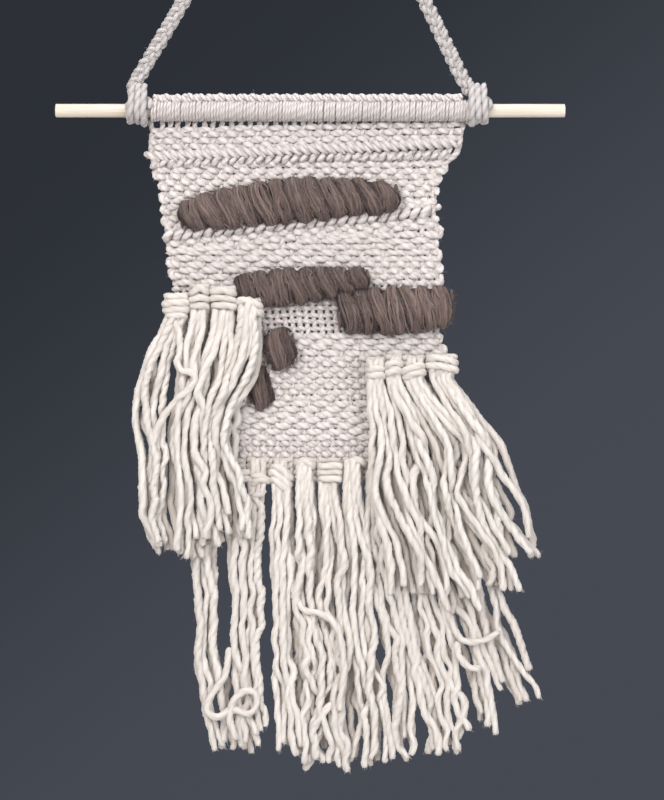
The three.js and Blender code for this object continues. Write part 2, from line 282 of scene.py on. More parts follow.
# Stray fibres: thin bent tufts that taper to their tips
def addFibres(batch, roots, ways, lengths, radius, tint=0.7, curl=0.4):
    roots, ways = np.asarray(roots, float), np.asarray(ways, float)
    count = len(roots)
    if count == 0:
        return
    lengths = np.broadcast_to(lengths, (count,)).astype(float)
    ways = ways / (np.linalg.norm(ways, axis=1)[:, None] + 1e-9)
    bend = rng.normal(0, curl, (count, 3))
    share = np.array(fibreLook["places"])
    thin = np.array(fibreLook["widths"]) * radius
    sides, rings = fibreLook["sides"], len(share)
    path = (roots[:, None] + ways[:, None] * (lengths[:, None] * share)[..., None]
            + bend[:, None] * (lengths[:, None] * share ** 2)[..., None])
    a = np.cross(ways, rng.normal(0, 1, (count, 3)))
    a /= np.linalg.norm(a, axis=1)[:, None] + 1e-9
    b = np.cross(ways, a)
    angle = np.arange(sides) / sides * 2 * math.pi
    ring = (np.cos(angle)[:, None] * a[:, None] + np.sin(angle)[:, None] * b[:, None])
    points = path[:, :, None] + ring[:, None] * thin[None, :, None, None]
    base = batch["count"] + np.arange(count) * fibrePoints
    quads = []
    for step in range(rings - 1):
        here, beyond = base + step * sides, base + (step + 1) * sides
        for place in range(sides):
            after = (place + 1) % sides
            quads.append(np.stack([here + place, here + after, beyond + after, beyond + place], -1))
    quads = np.stack(quads, axis=1).reshape(-1, 4)
    batch["points"].append(points.reshape(-1, 3))
    batch["quads"].append(quads)
    batch["maps"].append(np.tile([[0.1, 0], [0.2, 0], [0.2, 0.1], [0.1, 0.1]], (len(quads), 1)))
    batch["caps"].extend(base[:, None] + np.arange(sides)[::-1])
    batch["caps"].extend(base[:, None] + fibrePoints - sides + np.arange(sides))
    batch["tints"].append(np.zeros(count * fibrePoints) + tint)
    batch["grooveShades"].append(np.zeros(count * fibrePoints))
    batch["count"] += count * fibrePoints


# The halo of loose fibres round a strand
def fuzz(batch, strand, perMillimetre, length, radius=0.07, tint=0.7, lift=0.7):
    route, tangent, side, up, size = strand
    total = np.linalg.norm(np.diff(route, axis=0), axis=1).sum()
    count = rng.poisson(perMillimetre * total)
    if count == 0:
        return
    at = rng.integers(1, len(route) - 1, count)
    turn = rng.uniform(0, 2 * math.pi, count)[:, None]
    outward = np.cos(turn) * side[at] + np.sin(turn) * up[at]
    roots = route[at] + outward * size[at][:, None] * 0.75
    along = tangent[at] * rng.choice([-1, 1], count)[:, None]
    ways = outward * rng.uniform(0.2, lift * 1.5, count)[:, None] + along
    addFibres(batch, roots, ways, rng.uniform(0.4, 1, count) * length, radius, tint)


def makePiece(name, batch, material, body=None, replaces=()):
    mesh = bpy.data.meshes.new(name)
    points = np.concatenate(batch["points"]) * mm
    quads = np.concatenate(batch["quads"])
    caps = [cap.tolist() for cap in batch["caps"]]
    mesh.from_pydata(points.tolist(), [], quads.tolist() + caps)
    corners = len(mesh.loops)
    maps = np.zeros((corners, 2), np.float32)
    flat = np.concatenate(batch["maps"])
    maps[:len(flat)] = flat
    mesh.uv_layers.new(name="yarnMap").data.foreach_set("uv", maps.ravel())
    for label, key in (("tint", "tints"), ("grooveShade", "grooveShades")):
        layer = mesh.attributes.new(label, "FLOAT", "POINT")
        layer.data.foreach_set("value", np.concatenate(batch[key]).astype(np.float32))
    mesh.shade_smooth()
    mesh.materials.append(material)
    piece = bpy.data.objects.new(name, mesh)
    bpy.context.collection.objects.link(piece)
    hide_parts(*replaces)
    if body:
        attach(piece, body)
    return piece


# Finishes: every yarn has a colour for its high fibres, one between them and one for painted shade
# in its groove
# The colours of the high fibres and between them are partly the yarn's own streaky tone and partly
# painted highlight and shade.
yarnLook = {
    "creamYarn": {"light": (0.74, 0.69, 0.665), "dark": (0.63, 0.575, 0.548),
                  "grooveShade": (0.46, 0.39, 0.365), "depth": 0.8, "contrast": 0.65},
    "greyYarn": {"light": (0.73, 0.68, 0.66), "dark": (0.56, 0.505, 0.485),
                 "grooveShade": (0.36, 0.30, 0.285)},
    "cordYarn": {"light": (0.60, 0.565, 0.555), "dark": (0.42, 0.39, 0.38),
                 "grooveShade": (0.27, 0.24, 0.235)},
    "fringeYarn": {"light": (0.71, 0.665, 0.625), "dark": (0.57, 0.51, 0.465),
                   "grooveShade": (0.47, 0.405, 0.36), "grooveShading": 0.4},
    "brownRoving": {"light": (0.285, 0.205, 0.18), "dark": (0.046, 0.029, 0.028),
                    "grooveShade": (0.03, 0.02, 0.018), "across": 4, "along": 1.2, "depth": 0.8,
                    "contrast": 0.4, "sheen": 0.15},
}


def fibreGroup():
    group = bpy.data.node_groups.new("fibreStreaks", "ShaderNodeTree")
    face = group.interface
    for name, value in (("across", 2.4), ("along", 1.6), ("depth", 0.5)):
        face.new_socket(name, in_out="INPUT", socket_type="NodeSocketFloat").default_value = value
    face.new_socket("streak", in_out="OUTPUT", socket_type="NodeSocketFloat")
    face.new_socket("normal", in_out="OUTPUT", socket_type="NodeSocketVector")
    nodes, links = group.nodes, group.links
    inside = nodes.new("NodeGroupInput")
    outside = nodes.new("NodeGroupOutput")
    uv = nodes.new("ShaderNodeUVMap")
    uv.uv_map = "yarnMap"
    parts = nodes.new("ShaderNodeSeparateXYZ")
    links.new(uv.outputs["UV"], parts.inputs[0])

    def maths(operation, *values):
        node = nodes.new("ShaderNodeMath")
        node.operation = operation
        for i, value in enumerate(values):
            if isinstance(value, (int, float)):
                node.inputs[i].default_value = value
            else:
                links.new(value, node.inputs[i])
        return node.outputs[0]

    angle = maths("MULTIPLY", parts.outputs["X"], 2 * math.pi)
    round1 = maths("MULTIPLY", maths("COSINE", angle), inside.outputs["across"])
    round2 = maths("MULTIPLY", maths("SINE", angle), inside.outputs["across"])
    run = maths("MULTIPLY", parts.outputs["Y"], inside.outputs["along"])
    place = nodes.new("ShaderNodeCombineXYZ")
    links.new(round1, place.inputs[0])
    links.new(round2, place.inputs[1])
    links.new(run, place.inputs[2])
    noise = nodes.new("ShaderNodeTexNoise")
    noise.inputs["Scale"].default_value = 1
    noise.inputs["Detail"].default_value = 4
    noise.inputs["Roughness"].default_value = 0.62
    links.new(place.outputs[0], noise.inputs["Vector"])
    bump = nodes.new("ShaderNodeBump")
    bump.inputs["Distance"].default_value = 0.0006
    links.new(noise.outputs["Fac"], bump.inputs["Height"])
    links.new(inside.outputs["depth"], bump.inputs["Strength"])
    # the streak that raises the bump also picks the colour: partly the yarn's own streaky tone,
    # partly painted highlight on high fibres and painted shade between them
    links.new(noise.outputs["Fac"], outside.inputs["streak"])
    links.new(bump.outputs["Normal"], outside.inputs["normal"])
    return group


fibres = fibreGroup()


def yarnFinish(name, light, dark, grooveShade, across=2.4, along=1.6, depth=0.5, contrast=0.55,
               sheen=0.35, grooveShading=0.7):
    material = bpy.data.materials.new(name)
    material.use_nodes = True
    nodes, links = material.node_tree.nodes, material.node_tree.links
    shader = nodes["Principled BSDF"]
    effect = nodes.new("ShaderNodeGroup")
    effect.node_tree = fibres
    for key, value in (("across", across), ("along", along), ("depth", depth)):
        effect.inputs[key].default_value = value
    tint = nodes.new("ShaderNodeAttribute")
    tint.attribute_name = "tint"
    grooveMask = nodes.new("ShaderNodeAttribute")
    grooveMask.attribute_name = "grooveShade"
    blendIn = nodes.new("ShaderNodeMix")
    blendIn.data_type = "FLOAT"
    blendIn.inputs["Factor"].default_value = contrast
    links.new(tint.outputs["Fac"], blendIn.inputs[2])
    links.new(effect.outputs["streak"], blendIn.inputs[3])
    ramp = nodes.new("ShaderNodeValToRGB")
    ramp.color_ramp.elements[0].position = 0.28
    ramp.color_ramp.elements[0].color = (*dark, 1)
    ramp.color_ramp.elements[1].position = 0.68
    ramp.color_ramp.elements[1].color = (*light, 1)
    links.new(blendIn.outputs[0], ramp.inputs["Fac"])
    # painted shade: the groove mask blends the colour towards the groove's shade colour
    deep = nodes.new("ShaderNodeMix")
    deep.data_type = "RGBA"
    share = nodes.new("ShaderNodeMath")
    share.operation = "MULTIPLY"
    share.inputs[1].default_value = grooveShading
    links.new(grooveMask.outputs["Fac"], share.inputs[0])
    links.new(share.outputs[0], deep.inputs["Factor"])
    links.new(ramp.outputs["Color"], deep.inputs[6])
    deep.inputs[7].default_value = (*grooveShade, 1)
    links.new(deep.outputs[2], shader.inputs["Base Color"])
    links.new(effect.outputs["normal"], shader.inputs["Normal"])
    shader.inputs["Roughness"].default_value = 0.9
    shader.inputs["Specular IOR Level"].default_value = 0.25
    shader.inputs["Sheen Weight"].default_value = sheen
    shader.inputs["Sheen Roughness"].default_value = 0.45
    return material


creamYarn, greyYarn, cordYarn, fringeYarn, brownRoving = (
    yarnFinish(name, **look) for name, look in yarnLook.items())


# Edges of the work, as depth and distance in from the header's ends
def readAlong(stations, depth):
    if depth <= stations[0][0]:
        return stations[0][1]
    for (d0, v0), (d1, v1) in zip(stations, stations[1:]):
        if depth < d1:
            t = (depth - d0) / (d1 - d0)
            return v0 + (v1 - v0) * t * t * (3 - 2 * t)
    return stations[-1][1]


def leftEdge(depth):
    return headerLeft + readAlong(selvedge["left"], depth)


def rightEdge(depth):
    return headerRight - readAlong(selvedge["right"], depth)


def slantAt(x):                         # how far the slanting rows drop at a place across
    return ridgeFall * (1 - 2 * (x - headerLeft) / (headerRight - headerLeft))


def warpX(number, depth):
    left, right = leftEdge(depth) + warpInset, rightEdge(depth) - warpInset
    return left + (right - left) * number / (warpCount - 1)


# Hanging cord: three strands plaited from one loop over the nail to the other
cordLook = {
    "diameter": 9.5,
    "strands": 3,
    "strand": 2.35,                     # radius of each
    "across": 2.5,
    "deep": 1.5,
    "plait": 21,                        # length of one full crossing
    "route": [
        (-108.3, -165.8), (-108.2, -163.2), (-107.6, -160.1), (-106.2, -156.8),
        (-100, -146.5), (-88, -126.1), (-74, -102.3), (-60, -78.6), (-46, -54.8),
        (-32, -31), (-22.5, -14.9), (-18.7, -8.6), (-14.6, -2.7), (-8.4, 1.9), (0, 4.5),
        (7.7, 3.1), (14.2, -1.2), (18.6, -7.8), (22.3, -15.4), (30, -31.4), (42, -56.3),
        (54, -81.2), (66, -106.1), (78, -131), (88, -151.8), (91.9, -158.6),
        (94.1, -162.6), (94.4, -165.8),
    ],
}


def plaitRoute(line, phase):
    line, along = evenly(line, 1.0)
    tangent = np.gradient(line, axis=0)
    tangent /= np.linalg.norm(tangent, axis=1)[:, None]
    across = np.stack([-tangent[:, 2], 0 * along, tangent[:, 0]], axis=1)
    turn = 2 * math.pi * (along / cordLook["plait"] + phase)
    return (line + across * (cordLook["across"] * np.sin(turn))[:, None]
            + np.array([0, 1, 0]) * (cordLook["deep"] * np.sin(2 * turn))[:, None])


def makeCord():
    batch = newBatch()
    line = smoothLine([(x, 0, z) for x, z in cordLook["route"]])
    for part in range(cordLook["strands"]):
        strand = addStrand(batch, plaitRoute(line, part / cordLook["strands"]), cordLook["strand"],
                           rng.uniform(0.35, 0.7), twist=9, step=1.3, valley=0.7)
        fuzz(batch, strand, 0.5, 2.0, radius=0.05)
    piece = makePiece("plaited_cord", batch, cordYarn, "hanger", ["hanging_cord"])


# Loops that tie the cord on: yarn wound round the dowel, with upright strands before it
loopLook = {
    "turns": 3.1, "pitch": 4.35, "turned": 0.9, "reach": 6.4, "sway": 0.7,
    "yarn": 2.2, "twist": 14, "gap": 0.3, "halfWidth": 6.5,
    "upright": [(-3.8, -4.6, 5.5), (0, -0.5, 4.5), (3.4, 3.3, 7.4)],    # start, end, drop
}


def makeLoop(name, node, middle, towards):
    batch = newBatch()

    def lay(route, tone):
        strand = addStrand(batch, route, loopLook["yarn"], tone, twist=loopLook["twist"],
                           step=1.3, valley=0.78)
        fuzz(batch, strand, 0.6, 2.0, radius=0.05)

    t = np.linspace(0, loopLook["turns"], 80)
    angle = 2 * math.pi * t + loopLook["turned"]
    x = middle + (t - loopLook["turns"] / 2) * loopLook["pitch"] + loopLook["sway"] * np.sin(angle)
    reach = loopLook["reach"]
    lay(np.stack([x, -reach * np.sin(angle), -hangDrop + reach * np.cos(angle)], axis=1), 0.5)
    for start, end, drop in loopLook["upright"]:
        above, below = middle + towards * start, middle + towards * end
        lay(smoothLine([
            (above, -1.6, -hangDrop + 16),
            (above, -5.0, -hangDrop + 10.5),
            (middle + towards * (start * 0.7 + end * 0.3), -8.9, -hangDrop + 3.5),
            (middle + towards * (start * 0.2 + end * 0.8), -8.6, -hangDrop - 3),
            (below, -5.2, -hangDrop - 2 - drop * 0.6),
            (below, -1, -hangDrop - 2 - drop),
        ]), rng.uniform(0.4, 0.7))
    makePiece(name, batch, cordYarn, "hanger", [node])


makeCord()
makeLoop("loop_left", "cord_loop_left", headerLeft - loopLook["gap"] - loopLook["halfWidth"], 1)
makeLoop("loop_right", "cord_loop_right", headerRight + loopLook["gap"] + loopLook["halfWidth"],
         -1)
print("cord ready")


# Dowel
dowelLook = {
    "facets": 64, "endBevel": 0.0005, "bevelSteps": 3, "smoothUnder": 40,
    "grainDark": (0.56, 0.45, 0.345), "grainPale": (0.74, 0.675, 0.59), "grainRange": (0.3, 0.62),
    "grainStretch": (14, 520, 520), "grainDetail": 5, "grainBump": 0.35, "grainDepth": 0.0002,
    "roughness": 0.62,
}


def woodFinish():
    material = bpy.data.materials.new("paleWood")
    material.use_nodes = True
    nodes, links = material.node_tree.nodes, material.node_tree.links
    shader = nodes["Principled BSDF"]
    coords = nodes.new("ShaderNodeTexCoord")
    stretch = nodes.new("ShaderNodeMapping")
    stretch.inputs["Scale"].default_value = dowelLook["grainStretch"]
    links.new(coords.outputs["Object"], stretch.inputs["Vector"])
    grain = nodes.new("ShaderNodeTexNoise")
    grain.inputs["Scale"].default_value = 1
    grain.inputs["Detail"].default_value = dowelLook["grainDetail"]
    links.new(stretch.outputs["Vector"], grain.inputs["Vector"])
    ramp = nodes.new("ShaderNodeValToRGB")
    for step, place, key in zip(ramp.color_ramp.elements, dowelLook["grainRange"],
                                ("grainDark", "grainPale")):
        step.position = place
        step.color = (*dowelLook[key], 1)
    links.new(grain.outputs["Fac"], ramp.inputs["Fac"])
    links.new(ramp.outputs["Color"], shader.inputs["Base Color"])
    bump = nodes.new("ShaderNodeBump")
    bump.inputs["Strength"].default_value = dowelLook["grainBump"]
    bump.inputs["Distance"].default_value = dowelLook["grainDepth"]
    links.new(grain.outputs["Fac"], bump.inputs["Height"])
    links.new(bump.outputs["Normal"], shader.inputs["Normal"])
    shader.inputs["Roughness"].default_value = dowelLook["roughness"]
    return material


def makeDowel():
    low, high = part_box("dowel")
    radius = (high.z - low.z) / 2
    bpy.ops.mesh.primitive_cylinder_add(
        vertices=dowelLook["facets"], radius=radius, depth=high.x - low.x,
        location=(low + high) / 2, rotation=(0, math.radians(90), 0))
    piece = bpy.context.object
    piece.name = "wood_dowel"
    bpy.ops.object.transform_apply(location=False, rotation=True, scale=True)
    bevel = piece.modifiers.new("endBevel", "BEVEL")
    bevel.width = dowelLook["endBevel"]
    bevel.segments = dowelLook["bevelSteps"]
    bevel.limit_method = "ANGLE"
    bpy.ops.object.modifier_apply(modifier=bevel.name)
    bpy.ops.object.shade_smooth_by_angle(angle=math.radians(dowelLook["smoothUnder"]))
    piece.data.materials.append(woodFinish())
    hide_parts("dowel")
    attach(piece, "dowel")


makeDowel()


# Header: yarn wound round the dowel, a twisted edge on top, and the warp hanging below
headerLook = {
    "wraps": 106, "yarn": 1.14, "reach": 5.6, "endGap": 0.4, "uneven": 0.4, "lengths": 12,
    "edgeYarn": 1.75, "edgeTwist": 13, "edgeStrands": 2, "edgeGap": 2, "edgeSpiral": 1.2,
    "edgeFront": 2.6, "edgeRise": 7.2, "edgeWave": 0.4,
}


def makeBinding():
    batch = newBatch()
    look = headerLook
    wraps, gap = look["wraps"], look["endGap"]
    perTurn = 18
    t = np.linspace(0, wraps, wraps * perTurn + 1)
    angle = 2 * math.pi * t
    jitter = wander(len(t), wraps, look["uneven"])
    x = headerLeft + gap + (headerRight - headerLeft - 2 * gap) * t / wraps + jitter
    reach = look["reach"] + wander(len(t), wraps * 2, 0.18)
    route = np.stack([x, reach * np.sin(angle), -hangDrop + reach * np.cos(angle)], axis=1)
    cuts = np.linspace(0, len(t) - 1, look["lengths"] + 1).astype(int)
    for a, b in zip(cuts, cuts[1:]):
        strand = addStrand(batch, route[a:b + 4], look["yarn"], rng.uniform(0.4, 0.75),
                           sides=8, step=1.5, twist=9, valley=0.9, tip=1)
        fuzz(batch, strand, 0.12, 2.0, radius=0.05)
    makePiece("bound_header", batch, greyYarn, "panel", ["header_binding"])


def makeTwistedEdge():
    batch = newBatch()
    look = headerLook
    points = 400
    t = np.linspace(0, 1, points)
    x = headerLeft + look["edgeGap"] + (headerRight - headerLeft - 2 * look["edgeGap"]) * t
    for part in range(look["edgeStrands"]):
        turn = 2 * math.pi * ((x - headerLeft) / look["edgeTwist"] + part / look["edgeStrands"])
        route = np.stack([x, -look["edgeFront"] + look["edgeSpiral"] * np.cos(turn),
                          -hangDrop + look["edgeRise"] + look["edgeWave"] * wander(points, 30, 1)
                          + look["edgeSpiral"] * np.sin(turn)], axis=1)
        strand = addStrand(batch, route, look["edgeYarn"], rng.uniform(0.4, 0.7), step=1.3,
                           twist=7, valley=0.7)
        fuzz(batch, strand, 0.5, 2.0, radius=0.05)
    makePiece("twisted_edge", batch, greyYarn, "panel", ["header_chain"])


warpLook = {
    "radius": 1.75, "flat": 0.62, "wave": 0.5, "behind": 0.6, "top": 4.8, "foot": 226,
    "step": 2.0, "looseTop": 5, "sway": 1.1,
    "swell": [(4, 0.95), (12, 1.0), (16, 1.15), (104, 1.1), (107, 0.98), (131, 0.98), (134, 1),
              (230, 1)],
}


def makeWarp():
    batch = newBatch()
    look = warpLook
    depths = np.arange(look["top"], look["foot"], look["step"])
    swell = np.interp(depths, *zip(*look["swell"]))
    loose = look["looseTop"]
    for number in range(warpCount):
        x = np.array([warpX(number, d) for d in depths])
        x[:loose] += wander(loose, 3, look["sway"])
        y = weaveMiddle + look["behind"] + look["wave"] * np.sin(depths * 0.8 + number * math.pi)
        y[0] = 4.0                      # the top comes off the back of the binding
        route = np.stack([x, y, -hangDrop - depths], axis=1)
        addStrand(batch, route, look["radius"], rng.uniform(0.3, 0.7), sides=8,
                  step=look["step"], twist=8, valley=0.8, deep=look["flat"], swell=swell)
    makePiece("warp_threads", batch, greyYarn, "panel", ["warp_ends"])


makeBinding()
makeTwistedEdge()
makeWarp()
print("header ready")


# Woven zones from the header down: depth of the level top, height and row pitch
zoneLook = {
    "soumak_header": {"top": 12.9, "height": 17.2},
    "tabby_upper": {"top": 30.4, "height": 33.3, "slantBelow": True, "pitch": 3.6,
                    "radius": 1.8, "pattern": "short"},
    "soumak_ridge": {"top": 64.0, "height": 11.4, "slantAbove": True, "slantBelow": True},
    "floats_upper": {"top": 75.7, "height": 29.4, "slantAbove": True, "pitch": 3.6,
                     "radius": 1.8, "pattern": "long"},
    "tabby_open": {"top": 105.4, "height": 28, "pitch": 3.9, "radius": 1.5, "pattern": "open",
                   "finish": "grey"},
    "floats_middle": {"top": 133.7, "height": 13.5, "pitch": 3.4, "radius": 1.72,
                      "pattern": "long"},
    "tabby_lower": {"top": 147.5, "height": 26.8, "pitch": 3.35, "radius": 1.7,
                    "pattern": "tabby"},
    "floats_lower": {"top": 174.6, "height": 23.7, "pitch": 3.4, "radius": 1.72,
                     "pattern": "long"},
    "hem": {"top": 198.6, "height": 10.3, "pitch": 3.4, "radius": 1.7, "pattern": "tabby",
            "finish": "grey"},
}
tabbyPatch = {"fromX": 28, "fromDepth": 87, "toDepth": 106}
floatLook = {"short": {"over": 2, "bias": 0.3}, "long": {"over": 3, "bias": 0.45}}
weftLook = {"spacing": 0.9, "over": 1.45, "wave": 0.5, "flat": 0.6, "plump": 1.25, "step": 1.25,
            "lumps": 0.08, "cutEvery": 240, "edgePoints": 3}


def weaveFront(pattern, w, row, x, depth):      # 1 where the weft lies in front, -1 behind
    patch = tabbyPatch
    if pattern == "long" and x > patch["fromX"] and patch["fromDepth"] < depth < patch["toDepth"]:
        pattern = "tabby"
    if pattern in ("tabby", "open"):
        return math.cos(math.pi * (w + row))
    look = floatLook[pattern]
    wave = math.cos(2 * math.pi * (w / look["over"] + row * 0.5))
    return math.tanh(2.2 * (wave + look["bias"])) / 0.99


def slantCut(drop):                     # where a slanting edge has dropped this far
    return headerLeft + (1 - drop / ridgeFall) / 2 * (headerRight - headerLeft)


def zoneRows(zone):                     # every row's depth and the stretch that it fills
    top, foot = zone["top"], zone["top"] + zone["height"]
    above = ridgeFall if zone.get("slantAbove") else 0
    below = ridgeFall if zone.get("slantBelow") else 0
    pitch = zone["pitch"]
    depth, step = (foot - pitch / 2, -pitch) if above else (top + pitch / 2, pitch)
    rows = []
    while top - above + pitch * 0.4 <= depth <= foot + below - pitch * 0.4:
        near, far = leftEdge(depth), rightEdge(depth)
        if above:
            near = max(near, slantCut(depth - pitch * 0.45 - top))
        if below:
            far = min(far, slantCut(depth + pitch * 0.45 - foot))
        if far - near > 5:
            rows.append((depth, near, far))
        depth += step
    return rows[::-1] if above else rows


def weftRoute(zone):                    # one long yarn, to and fro across the zone
    route, swell = [], []
    rows = zoneRows(zone)
    for row, (depth, near, far) in enumerate(rows):
        left, right = leftEdge(depth) + warpInset, rightEdge(depth) - warpInset
        count = int((far - near) / weftLook["spacing"])
        xs = np.linspace(near, far, count)
        rise = wander(count, 12, weftLook["wave"])
        shift = rng.uniform(-0.3, 0.3) if zone["pattern"] in floatLook else 0
        bulge = rng.uniform(-0.8, 0.6, 2)
        if row % 2:
            xs, rise = xs[::-1], rise[::-1]
        for i, x in enumerate(xs):
            w = (x - left) / (right - left) * (warpCount - 1) + shift
            front = weaveFront(zone["pattern"], w, row, x, depth)
            edge = min(i, count - 1 - i)
            out = max(0, 1 - edge / weftLook["edgePoints"]) * bulge[0 if x < 0 else 1]
            route.append((x + (out if x > 0 else -out), weaveMiddle - weftLook["over"] * front,
                          -hangDrop - depth - rise[i]))
            swell.append(0.9 + 0.14 * front)
    return route, swell


def makeWoven(name, zone):
    batch = newBatch()
    route, swell = weftRoute(zone)
    finish = greyYarn if zone.get("finish") == "grey" else creamYarn
    line = np.asarray(route)
    line = np.vstack([line[:1], (line[:-2] + 2 * line[1:-1] + line[2:]) / 4, line[-1:]])
    cuts = np.linspace(0, len(line) - 1, 1 + max(3, len(line) // weftLook["cutEvery"])).astype(int)
    for a, b in zip(cuts, cuts[1:]):
        strand = addStrand(batch, line[a:b + 1], zone["radius"], rng.uniform(0.35, 0.7),
                           step=weftLook["step"], twist=11, valley=0.79, swell=swell[a:b + 1],
                           lumps=weftLook["lumps"], tip=0.8, deep=weftLook["flat"], steady=True,
                           wide=1.0 if zone["pattern"] == "open" else weftLook["plump"])
        fuzz(batch, strand, 0.35, 2.4, radius=0.055)
    return makePiece(f"woven_{name}", batch, finish, "panel", [name])


# Soumak: stitches that wrap the warp and lean, forward on the face and back behind it, with
# plain rows between them
soumakRows = {
    "soumak_header": [
        {"down": -3.3, "radius": 1.5, "fall": 2.0, "plain": 0},
        {"down": 0.3, "radius": 1.75, "fall": 1.2, "plain": 1},
        {"down": 4.0, "radius": 1.75, "fall": 1.2, "plain": 0},
        {"down": 7.4, "radius": 1.75, "fall": 1.6, "stop": 0.66, "plain": 1},
        {"down": 10.4, "height": 5.0, "lean": 1.25, "pitch": 5.3, "radius": 1.9, "fall": 4.6},
        {"down": 15.9, "height": 3.2, "lean": -1.3, "pitch": 5.3, "radius": 1.8, "fall": 3.0},
        {"down": 15.4, "radius": 1.75, "fall": 1.2, "start": 0.6, "plain": 0},
    ],
    "soumak_ridge": [
        {"down": -1.4, "radius": 1.9, "plain": 0},
        {"down": 3.2, "height": 4.8, "lean": -1.35, "pitch": 6.2, "radius": 2.3},
        {"down": 8.2, "radius": 1.85, "plain": 1},
        {"down": 11.6, "radius": 1.85, "plain": 0},
    ],
}


def plainRow(batch, look, depth, left, right, fall):
    x = np.linspace(left, right, int((right - left) / weftLook["spacing"]))
    w = (x - warpX(0, depth)) / (warpX(1, depth) - warpX(0, depth))
    front = np.tanh(1.6 * (np.cos(math.pi * (w + look["plain"])) + 0.2))
    down = depth + slantAt(x) * fall / ridgeFall + wander(len(x), 16, 0.5)
    route = np.stack([x, weaveMiddle - weftLook["over"] * front, -hangDrop - down], axis=1)
    return addStrand(batch, route, look["radius"], rng.uniform(0.4, 0.65),
                     step=weftLook["step"], twist=13, valley=0.84, lumps=weftLook["lumps"],
                     deep=weftLook["flat"], wide=weftLook["plump"], steady=True,
                     swell=0.92 + 0.12 * front)


def stitchedRow(batch, look, depth, left, right, fall):
    pitch, height = look["pitch"], look["height"]
    turns = (right - left) / pitch
    t = np.linspace(0, turns, int(turns * 16))
    angle = 2 * math.pi * t
    lift = np.cos(angle)
    x = left + pitch * t - look["lean"] * height / 2 * lift
    x += wander(len(t), int(turns), 0.35)
    slant = slantAt(x) * fall / ridgeFall
    down = depth + slant - height / 2 * lift + wander(len(t), 14, 0.3)
    y = weaveMiddle - 0.3 - (2.4 + wander(len(t), int(turns), 0.3)) * np.sin(angle)
    route = np.stack([x, y, -hangDrop - down], axis=1)[:-3]
    return addStrand(batch, route, look["radius"], rng.uniform(0.4, 0.65),
                     step=weftLook["step"], twist=12, valley=0.82, lumps=0.07,
                     swell=0.88 + 0.16 * np.sin(angle[:-3]).clip(-0.5, 1))


def makeSoumak(name):
    zone = zoneLook[name]
    batch = newBatch()
    for look in soumakRows[name]:
        depth = zone["top"] + look["down"]
        left, right = leftEdge(depth) + 1.5, rightEdge(depth) - 1.5
        left, right = (left + (right - left) * look.get("start", 0),
                       left + (right - left) * look.get("stop", 1))
        fall = ridgeFall if zone.get("slantAbove") else look.get("fall", 0)
        layRow = plainRow if "plain" in look else stitchedRow
        fuzz(batch, layRow(batch, look, depth, left, right, fall), 0.4, 2.4, radius=0.055)
    finish = greyYarn if name == "soumak_header" else creamYarn
    return makePiece(f"woven_{name}", batch, finish, "panel", [name])


for zoneName, zone in zoneLook.items():
    (makeSoumak(zoneName) if zoneName in soumakRows
                             else makeWoven(zoneName, zone))
print("weave ready")


# Rovings: unspun wool laid in slanting lobes, each lobe a sheaf of soft locks. Top and foot are
# drops below the zone's top at the left end, the middle and the right end.
rovingLook = {
    "roving_upper": {"zone": "tabby_upper", "from": 21, "to": 146.5, "lobes": 12, "deep": 10,
                     "top": (23, 10, 11.5), "foot": (43.5, 38, 31.5), "lean": 3.6, "round": 7},
    "roving_middle": {"zone": "tabby_open", "from": 54, "to": 129.5, "lobes": 8, "deep": 9,
                      "top": (-7, -12, -11), "foot": (13, 11.5, 1), "lean": 2.6, "round": 4},
    "roving_right": {"zone": "tabby_open", "from": 115.5, "to": 180, "lobes": 7, "deep": 10,
                     "top": (3, -0.5, -0.5), "foot": (29, 30, 25), "lean": 2.0, "round": 4},
    "roving_knot": {"zone": "tabby_open", "from": 69.8, "to": 87, "lobes": 1, "deep": 8.5,
                    "top": (28, 25, 26), "foot": (54, 50.5, 45), "lean": 0.8, "round": 1},
    "roving_tail": {"zone": "tabby_lower", "from": 59.8, "to": 72.4, "lobes": 1, "deep": 4.5,
                    "top": (10, 6.5, 5.5), "foot": (30, 33, 27), "lean": 0.6, "round": 1},
}
# dim is how much painted shade darkens the locks towards a lobe's edges
lockLook = {"spacing": 0.68, "radius": 0.78, "lobeLift": 5.2, "dim": 0.85, "bend": 1.7,
            "overlap": 1.46, "pointed": 0.6, "behind": 0.6, "fibres": 13, "fibreLength": (1.5, 5.0),
            "crossing": 4, "points": 26, "reachRound": 1.75, "coreInside": 2.6, "coreBack": 2.2}


def through(values, t):                 # a curve through a start, a middle and an end
    a, b, c = values
    return a * (1 - t) * (1 - 2 * t) + b * 4 * t * (1 - t) + c * t * (2 * t - 1)


def rovingSpan(look):                   # left end and length
    return headerLeft + look["from"], look["to"] - look["from"]


def lobeOverlap(look):
    return lockLook["overlap"] if 1 < look["lobes"] else 1.0


def rovingOutline(look, u):             # centre, half height and depth at a share of its length
    width = rovingSpan(look)[1]
    top = -hangDrop - zoneLook[look["zone"]]["top"]
    inside = np.clip(np.minimum(u, 1 - u) * width / look["round"], 0.02, 1)
    full = np.sqrt(1 - (1 - inside) ** 2)
    high, low = through(look["top"], u), through(look["foot"], u)
    return top - (high + low) / 2, (low - high) / 2 * full, look["deep"] * full ** 0.6


def layCore(batch, look):               # a hidden body that keeps light from shining through
    start, width = rovingSpan(look)
    u = np.linspace(0.04, 0.96, 60)     # it stops short of the closed ends
    centre, half = rovingOutline(look, u)[:2]
    tallest, thick = half.max(), (look["deep"] - 2.4) / 2
    core = np.stack([start + width * u, 0 * u + lockLook["coreBack"] - thick, centre], axis=1)
    # painted shade: the core takes the darkest tint, so it reads as shade between the locks
    addStrand(batch, core, tallest, 0.0, sides=24, step=2, twist=None, valley=1,
              swell=np.maximum(half - lockLook["coreInside"], 0.4) / tallest, lumps=0.02,
              steady=True, deep=thick / tallest)


